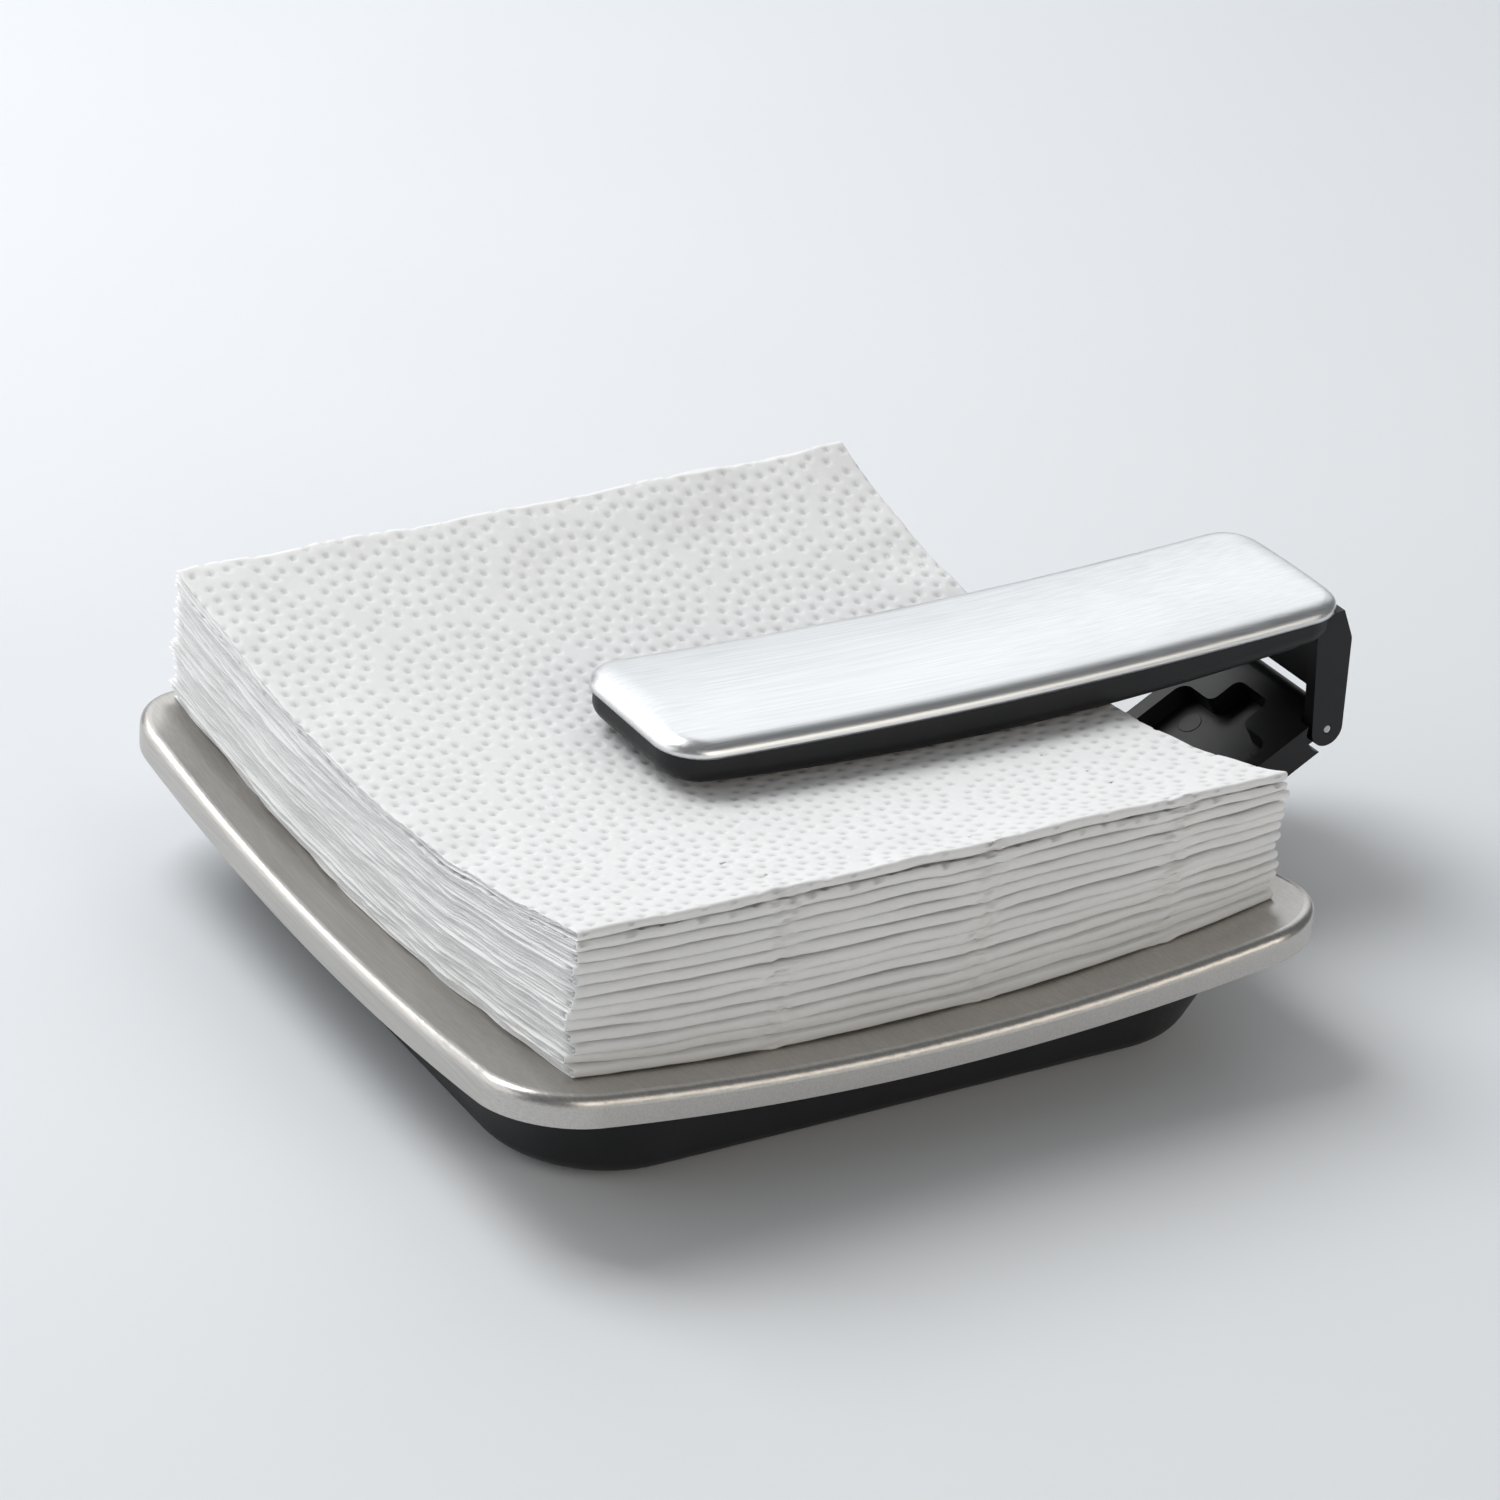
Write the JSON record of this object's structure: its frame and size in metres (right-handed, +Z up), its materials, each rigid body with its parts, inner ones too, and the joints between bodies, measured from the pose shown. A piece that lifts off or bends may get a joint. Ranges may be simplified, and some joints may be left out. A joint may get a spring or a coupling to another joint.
{
  "type": "napkin dispenser",
  "caption": "Tabletop napkin dispenser: dished steel tray on a dark weighted base, with a hinged weighted arm that holds down a stack of folded paper napkins.",
  "frame": {"origin": "on the table under the middle of the whole object's box", "axes": "+Z up; +Y from the free end of the arm towards the hinge; +X to the right"},
  "size_m": [0.178, 0.2379, 0.0673],
  "materials": {
    "brushed_steel": "brushed along one direction, satin",
    "steel": "plain turned or pressed steel",
    "iron": "plain weight, unseen",
    "black_plastic": "satin moulded plastic",
    "bush_plastic": "natural acetal",
    "rubber": "soft moulded rubber",
    "tissue": "embossed white tissue"
  },
  "bodies": {
    "base": {"tray": "brushed_steel", "tray_studs": "steel", "base_shell": "black_plastic", "base_screws": "steel", "feet": "rubber", "ballast_plate": "iron", "hinge_bracket": "black_plastic", "bracket_plugs": "black_plastic", "bracket_screws": "steel", "rear_foot": "rubber", "hinge_bushes": "bush_plastic", "friction_washers": "bush_plastic", "napkin_01": "tissue", "napkin_02": "tissue", "napkin_03": "tissue", "napkin_04": "tissue", "napkin_05": "tissue", "napkin_06": "tissue", "napkin_07": "tissue", "napkin_08": "tissue", "napkin_09": "tissue", "napkin_10": "tissue", "napkin_11": "tissue", "napkin_12": "tissue"},
    "arm": {"arm_shell": "black_plastic", "arm_weight": "iron", "arm_cover": "brushed_steel", "hinge_pin": "steel"},
    "top_napkin": {"napkin_13": "tissue"}
  },
  "joints": [
    {"name": "arm_hinge", "type": "hinge", "parent": "base", "child": "arm", "pos_m": [0, 0.11495, 0.0313], "axis": [-1, 0, 0], "range_deg": [0, 100]},
    {"name": "napkin_pull", "type": "hinge", "parent": "base", "child": "top_napkin", "pos_m": [0, 0.01655, 1.3457], "axis": [-1, 0, 0], "range_deg": [0, 7.5]}
  ]
}
